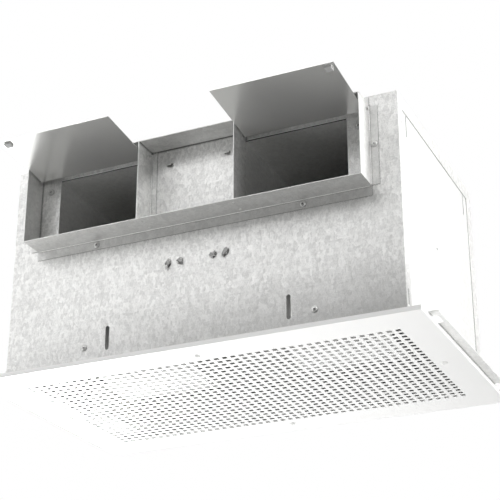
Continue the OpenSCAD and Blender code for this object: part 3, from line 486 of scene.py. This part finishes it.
def copy_of_solid(name, new_name):
    """A new piece with the merged mesh of a CAD node, selected and in edit mode."""
    bpy.ops.object.select_all(action="DESELECT")
    piece = bpy.data.objects.new(new_name, nodes[name].data.copy())
    piece.data.materials.clear()
    scene.collection.objects.link(piece)
    piece.select_set(True)
    bpy.context.view_layer.objects.active = piece
    bpy.ops.object.mode_set(mode="EDIT")
    bpy.ops.mesh.select_mode(type="FACE")
    bpy.ops.mesh.select_all(action="SELECT")
    bpy.ops.mesh.remove_doubles(threshold=0.00001)
    return piece


def block(name, centre, size):
    """A new box, selected and active."""
    bpy.ops.object.select_all(action="DESELECT")
    bpy.ops.mesh.primitive_cube_add(size=1.0, location=centre)
    piece = bpy.context.object
    piece.name = name
    piece.scale = size
    bpy.ops.object.transform_apply(location=True, rotation=True, scale=True)
    return piece


def cut_away(piece, cutter):
    """Takes the cutter's shape out of a piece, and the cutter out of the scene."""
    bpy.ops.object.select_all(action="DESELECT")
    piece.select_set(True)
    bpy.context.view_layer.objects.active = piece
    cut = piece.modifiers.new("cut", "BOOLEAN")
    cut.operation = "DIFFERENCE"
    cut.solver = "EXACT"
    cut.object = cutter
    bpy.ops.object.modifier_apply(modifier="cut")
    bpy.data.objects.remove(cutter)


def foam_block(name, new_name, body, finish, grid, round_edge, swell, seed):
    """Soft foam in the place of a CAD node: rounded edges, and faces that swell unevenly."""
    piece = copy_of_solid(name, new_name)
    bpy.ops.mesh.dissolve_limited(angle_limit=math.radians(1.0))
    low, high = (Vector(corner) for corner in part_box(name))
    for axis in range(3):
        if high[axis] - low[axis] < 1.5 * grid:
            continue
        across = Vector((0, 0, 0))
        across[axis] = 1.0
        steps = round((high[axis] - low[axis]) / grid)
        for step in range(1, steps):
            bpy.ops.mesh.select_all(action="SELECT")
            bpy.ops.mesh.bisect(
                plane_co=low + across * (high[axis] - low[axis]) * step / steps, plane_no=across
            )
    bpy.ops.mesh.select_all(action="SELECT")
    bpy.ops.transform.vertex_random(offset=swell, seed=seed)
    bpy.ops.mesh.normals_make_consistent(inside=False)
    bpy.ops.object.mode_set(mode="OBJECT")
    soft_edge = piece.modifiers.new("soft_edge", "BEVEL")
    soft_edge.width = round_edge
    soft_edge.segments = 3
    soft_edge.limit_method = "ANGLE"
    soft_edge.angle_limit = math.radians(40)
    bpy.ops.object.modifier_apply(modifier="soft_edge")
    bpy.ops.object.shade_smooth()
    piece.data.materials.append(finish)
    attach(piece, body)
    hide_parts(name)


for number, wall in enumerate(("left", "right", "rear", "top")):
    foam_block(
        f"liner_{wall}", f"foam_lining_{wall}", "housing", lining_foam,
        grid=0.03, round_edge=0.0022, swell=0.0004, seed=number,
    )

# Bumpers. A small block of grey closed-cell foam is stuck under the free outer corner of each
# flap, so that the flap lands quietly on the connector.
bumper_foam, bumper_tree, bumper_shader, bumper_place = finish_named("bumper_foam", 0.0)
bumper_cells = add(bumper_tree, "TexVoronoi", {"Vector": bumper_place, "Scale": 1400.0}).outputs["Distance"]
paint(bumper_tree, bumper_shader, bumper_cells, grey(0.34), grey(0.52))
bumper_shader.inputs["Roughness"].default_value = 0.9
emboss(bumper_tree, bumper_shader, bumper_cells, 0.5, 0.0004)
first_bumper_seed = 7
for number, side in enumerate(("left", "right")):
    foam_block(
        f"damper_pad_{side}", f"foam_bumper_{side}", f"{side}_flap", bumper_foam,
        grid=0.0036, round_edge=0.0007, swell=0.00012, seed=first_bumper_seed + number,
    )

# Screws. Zinc-plated steel pan heads with a cross recess and a rolled thread, driven through
# the sheet metal. The four that hold the grille are enamelled white with it.
head_radius = 0.0042
head_height = 0.002
washer_radius = 0.0052
# Heights over the seat, each with the head's width there as a share of its radius
head_steps = ((0.00035, 1.24), (0.0005, 1.0), (0.0011, 0.96), (0.0015, 0.87), (0.0018, 0.7), (0.002, 0.4))
thread_radius = 0.0019
thread_pitch = 0.0008
thread_turns = 6
thread_root = 0.78
head_zone = 0.8 * head_radius
cross_size = (0.0048, 0.0009, 0.0024)
cross_taper = (0.5, 0.7, 1)
first_turn = 0.3
turn_between_screws = 0.7
bpy.ops.object.select_all(action="DESELECT")
bpy.ops.mesh.primitive_circle_add(vertices=24, radius=washer_radius, fill_type="NGON", location=(0, 0, 0))
screw_model = bpy.context.object
screw_model.name = "screw_model"
bpy.ops.object.mode_set(mode="EDIT")
bpy.ops.mesh.select_mode(type="FACE")
bpy.ops.mesh.select_all(action="SELECT")
at_height, at_width = 0.0, washer_radius / head_radius
for step_height, step_width in head_steps:
    bpy.ops.mesh.extrude_region_move(TRANSFORM_OT_translate={"value": (0, 0, step_height - at_height)})
    bpy.ops.transform.resize(
        value=(step_width / at_width, step_width / at_width, 1), center_override=(0, 0, step_height)
    )
    at_height, at_width = step_height, step_width
pick(screw_model, lambda middle, out: abs(middle.z) < 1e-6)
bpy.ops.mesh.inset(thickness=washer_radius - thread_radius)
for turn in range(thread_turns):
    for share, width in ((0.5, thread_root), (1.0, 1 / thread_root)):
        bpy.ops.mesh.extrude_region_move(TRANSFORM_OT_translate={"value": (0, 0, -thread_pitch / 2)})
        bpy.ops.transform.resize(
            value=(width, width, 1), center_override=(0, 0, -thread_pitch * (turn + share))
        )
bpy.ops.mesh.select_all(action="SELECT")
bpy.ops.mesh.normals_make_consistent(inside=False)
bpy.ops.object.mode_set(mode="OBJECT")
for quarter in (0.0, math.pi / 2):
    bpy.ops.object.select_all(action="DESELECT")
    bpy.ops.mesh.primitive_cube_add(size=1.0, location=(0, 0, 0))
    recess = bpy.context.object
    bpy.ops.object.mode_set(mode="EDIT")
    bpy.ops.mesh.select_mode(type="FACE")
    pick(recess, lambda middle, out: out.z < -0.9)
    bpy.ops.transform.resize(value=cross_taper, center_override=(0, 0, -0.5))
    bpy.ops.object.mode_set(mode="OBJECT")
    recess.scale = cross_size
    recess.rotation_euler = (0, 0, quarter)
    recess.location = (0, 0, head_height)
    bpy.context.view_layer.update()
    cut_away(screw_model, recess)
bpy.ops.object.shade_smooth_by_angle(angle=math.radians(38))
thread_length = thread_pitch * thread_turns


def screw_seats(name):
    """The seat, the outward direction and the thread's length of every CAD screw in a node."""
    copy_of_solid(name, "screw_group")
    bpy.ops.mesh.separate(type="LOOSE")
    bpy.ops.object.mode_set(mode="OBJECT")
    seats = []
    for one in list(bpy.context.selected_objects):
        points = [vertex.co for vertex in one.data.vertices]
        low = Vector([min(point[axis] for point in points) for axis in range(3)])
        high = Vector([max(point[axis] for point in points) for axis in range(3)])
        middle, size = (low + high) / 2, high - low
        along = max(range(3), key=lambda axis: abs(size[axis] - 2 * head_radius))
        across = [axis for axis in range(3) if axis != along]
        head = [
            point[along] for point in points
            if max(abs(point[axis] - middle[axis]) for axis in across) > head_zone
        ]
        out = Vector((0, 0, 0))
        out[along] = 1.0 if sum(head) / len(head) > middle[along] else -1.0
        seat = middle.copy()
        seat[along] += out[along] * (size[along] / 2 - head_height)
        seats.append((seat, out, size[along] - head_height))
        bpy.data.objects.remove(one)
    return sorted(seats, key=lambda found: tuple(found[0]))


def drive_screws(name, finish):
    """A copy of the screw at the place of every CAD screw of a node."""
    for number, (seat, out, length) in enumerate(screw_seats(name)):
        thread = screw_model.data.copy()
        for vertex in thread.vertices:
            if vertex.co.z < 0:
                vertex.co.z *= length / thread_length
        turn = Matrix.Rotation(turn_between_screws * number + first_turn, 4, "Z")
        thread.transform(Matrix.Translation(seat) @ out.to_track_quat("Z", "Y").to_matrix().to_4x4() @ turn)
        thread.materials.clear()
        thread.materials.append(finish)
        screw = bpy.data.objects.new(f"{name}_{number + 1}", thread)
        scene.collection.objects.link(screw)
        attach(screw, "housing")
        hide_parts(name)


screw_zinc, screw_tree, screw_shader, screw_place = finish_named("screw_zinc", 1.0)
screw_lines = history_of(screw_tree, screw_place, (900.0, 900.0, 900.0))[0]
# Painted shade darkens each screw in its cross recess and where its head meets the sheet.
screw_recess_shade = group_node(screw_tree, seam_shade, {"Reach": 0.002}).outputs["Crease shade"]
screw_colour = blended(screw_tree, screw_lines, grey(0.5), grey(0.78))
paint(screw_tree, screw_shader, screw_recess_shade, screw_colour, grey(0.08))
roughen(screw_tree, screw_shader, screw_lines, 0.28, 0.44)
for held in ("collar", "scroll", "front", "rail", "cradle", "box"):
    drive_screws(f"{held}_screws", screw_zinc)
drive_screws("grille_screws", grille_enamel)
bpy.data.objects.remove(screw_model)

# Hook ends. The motor carrier's four hooks are sheared from the same steel, pushed out through
# slots in the front and beaten flat by hand. Their faces are painted dark as shade, and their
# edges painted light as highlights.
# Each outline goes round one end in millimetres, across and up from the hook's middle.
millimetre = 0.001
bracket_low, bracket_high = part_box("motor_bracket")
hook_sink = 0.0002
hook_drop = 0.0035
hook_out = bracket_low[1] + hook_sink
hook_middle = bracket_high[2] - hook_drop
hook_inner = 0.026
hook_outer = 0.045
blank_radius = 0.004
torn_depth = 0.0014
torn_bevel = 0.00015
crest_shift = Vector((0.0008, -torn_depth, 0.0006))
crest_shrink = (0.5, 1.0, 0.55)
crest_lean = math.radians(14)
hook_outlines = (
    ("1", -hook_outer, ((1.2, 7.0), (4.1, -0.3), (-0.4, -6.6), (-2.6, -11.5), (-1.9, -5.6), (-4.7, -0.5))),
    ("2", -hook_inner, ((1.5, 5.5), (3.9, -4.7), (2.0, -5.7), (-1.6, -1.8), (-5.9, 1.2))),
    (
        "3", hook_inner,
        ((3.7, 6.0), (5.5, 0.4), (2.3, -0.5), (0.3, -5.9), (-5.1, 0.0), (-3.1, 3.6), (0.8, 2.6)),
    ),
    (
        "4", hook_outer,
        ((2.9, 7.7), (5.4, 5.2), (4.4, -0.4), (-0.5, -3.6), (-2.9, -6.7), (-4.4, -2.5), (-1.0, 5.5)),
    ),
)
hook_shaded_steel, torn_tree, torn_shader, torn_place = finish_named("hook_shaded_steel", 0.85)
torn_lines, torn_smudges = history_of(torn_tree, torn_place, (300.0, 300.0, 900.0))
# Painted shade darkens the hook faces, and painted highlights lighten their edges.
hook_edge_highlight = group_node(torn_tree, edge_mask, {"Width": 0.0006}).outputs["Edge"]
hook_face_shade = blended(torn_tree, torn_lines, grey(0.16), grey(0.42))
paint(torn_tree, torn_shader, hook_edge_highlight, hook_face_shade, grey(0.95))
roughen(torn_tree, torn_shader, torn_smudges, 0.26, 0.5)
for label, middle_x, outline in hook_outlines:
    hook_place = Vector((middle_x, hook_out, hook_middle))
    bpy.ops.object.select_all(action="DESELECT")
    bpy.ops.mesh.primitive_circle_add(
        vertices=len(outline), radius=blank_radius, fill_type="NGON",
        location=hook_place, rotation=(math.pi / 2, 0, 0),
    )
    hook_end = bpy.context.object
    hook_end.name = f"hook_end_{label}"
    bpy.ops.object.transform_apply(location=True, rotation=True, scale=True)
    bpy.ops.object.mode_set(mode="EDIT")
    bpy.ops.mesh.select_mode(type="VERT")
    for number, (across, up) in enumerate(outline):
        bpy.ops.mesh.select_all(action="DESELECT")
        hook_mesh = bmesh.from_edit_mesh(hook_end.data)
        hook_mesh.verts.ensure_lookup_table()
        corner = hook_mesh.verts[number]
        corner.select_set(True)
        bmesh.update_edit_mesh(hook_end.data)
        target = hook_place + Vector((across, 0, up)) * millimetre
        bpy.ops.transform.translate(value=target - corner.co)
    bpy.ops.mesh.select_mode(type="FACE")
    bpy.ops.mesh.select_all(action="SELECT")
    bpy.ops.mesh.extrude_region_move(TRANSFORM_OT_translate={"value": (0, -torn_depth / 2, 0)})
    bpy.ops.mesh.extrude_region_move(TRANSFORM_OT_translate={"value": (0, -torn_depth / 2, 0)})
    crest = hook_place + crest_shift
    bpy.ops.transform.resize(value=crest_shrink, center_override=crest)
    bpy.ops.transform.rotate(value=crest_lean, orient_axis="X", center_override=crest)
    bpy.ops.mesh.select_all(action="SELECT")
    bpy.ops.mesh.normals_make_consistent(inside=False)
    bpy.ops.object.mode_set(mode="OBJECT")
    sheared = hook_end.modifiers.new("sheared", "BEVEL")
    sheared.width = torn_bevel
    sheared.segments = 2
    sheared.limit_method = "ANGLE"
    bpy.ops.object.modifier_apply(modifier="sheared")
    bpy.ops.object.shade_smooth_by_angle(angle=math.radians(20))
    hook_end.data.materials.append(hook_shaded_steel)
    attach(hook_end, "housing")

# Folds. Where the connector's plates are bent out to their screw flanges, the inside of each
# bend has a small radius in a lighter zinc than the plates, painting a highlight along it. Each
# run has its corner, the way the corner opens, the axis it runs along, its length and its radius.
collar_sheet = 0.001
plate_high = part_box("collar_bottom")[1]
wall_low, wall_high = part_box("collar_wall_right")
divider_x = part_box("divider_right")[1][0] - collar_sheet
front_face = plate_high[1]
flange_front = front_face - collar_sheet
foot_z = plate_high[2] - collar_sheet
end_x = plate_high[0]
wall_z = (wall_low[2] + wall_high[2]) / 2
foot_length = 0.530
end_length = 0.122
divider_length = 0.120
roller_overrun = 1.1
roller_clearance = 1.02
# A lighter zinc than the connector's plates, which paints highlights along the folds and beads.
fold_zinc = zinc_sheet("fold_zinc", 0.78, 0.95)
fold_runs = (
    ("foot", (0, flange_front, foot_z), (0, -1, -1), 0, foot_length, 0.001),
    ("end_left", (-end_x, flange_front, wall_z), (-1, -1, 0), 2, end_length, 0.0008),
    ("end_right", (end_x, flange_front, wall_z), (1, -1, 0), 2, end_length, 0.0008),
    ("divider_left", (-divider_x, flange_front, wall_z), (1, -1, 0), 2, divider_length, 0.0009),
    ("divider_right", (divider_x, flange_front, wall_z), (-1, -1, 0), 2, divider_length, 0.0009),
)
for label, corner, opens, along, length, fold_radius in fold_runs:
    size = [fold_radius] * 3
    size[along] = length
    fold = block(f"fold_{label}", Vector(corner) + Vector(opens) * fold_radius / 2, size)
    bpy.ops.mesh.primitive_cylinder_add(
        vertices=48, radius=fold_radius, depth=length * roller_overrun,
        location=Vector(corner) + Vector(opens) * fold_radius * roller_clearance,
        rotation=(0, math.pi / 2, 0) if along == 0 else (0, 0, 0),
    )
    cut_away(fold, bpy.context.object)
    bpy.ops.object.shade_smooth_by_angle(angle=math.radians(30))
    fold.data.materials.append(fold_zinc)
    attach(fold, "housing")

# Outlet edges. Along the top of each air outlet the panel has a rolled bead, whose lighter zinc
# paints a highlight along it, and a thin near-black strip paints the shadow in the gap between
# the panel and the blower behind it. Each strip has its rise over the outlet's top, its height
# and its depth.
scroll_sheet = 0.001
wrap_low, wrap_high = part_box("scroll_wrap_right")
outlet_middle = (wrap_low[0] + wrap_high[0]) / 2
outlet_width = wrap_high[0] - wrap_low[0]
outlet_top = wrap_high[2] - scroll_sheet
strip_sink = 0.0003
strip_gap = 0.001
strip_rounding = 0.35
# A near-black finish, as painted shadow in the gap along the top of each outlet.
gap_shade, gap_shade_tree, gap_shade_shader, gap_shade_place = finish_named("gap_shade", 0.0)
gap_shade_grain = noise(gap_shade_tree, gap_shade_place, 2400.0, 4.0).outputs["Fac"]
paint(gap_shade_tree, gap_shade_shader, gap_shade_grain, grey(0.015), grey(0.06))
gap_shade_shader.inputs["Roughness"].default_value = 1.0
edge_strips = (
    ("outlet_bead", 0.0022, 0.0014, 0.0013, fold_zinc, "galvanised_sheet"),
    ("outlet_gap_shade", 0.0007, 0.0014, 0.0008, gap_shade, "foam"),
)
for side, sign in (("left", -1), ("right", 1)):
    for label, rise, strip_height, strip_depth, finish, finish_slot in edge_strips:
        strip = block(
            f"{label}_{side}",
            (sign * outlet_middle, front_face - strip_depth / 2 + strip_sink, outlet_top + rise),
            (outlet_width - 2 * strip_gap, strip_depth, strip_height),
        )
        rounded = strip.modifiers.new("rounded", "BEVEL")
        rounded.width = strip_depth * strip_rounding
        rounded.segments = 3
        bpy.ops.object.modifier_apply(modifier="rounded")
        bpy.ops.object.shade_smooth_by_angle(angle=math.radians(40))
        strip.data.materials.append(finish)
        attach(strip, "housing")
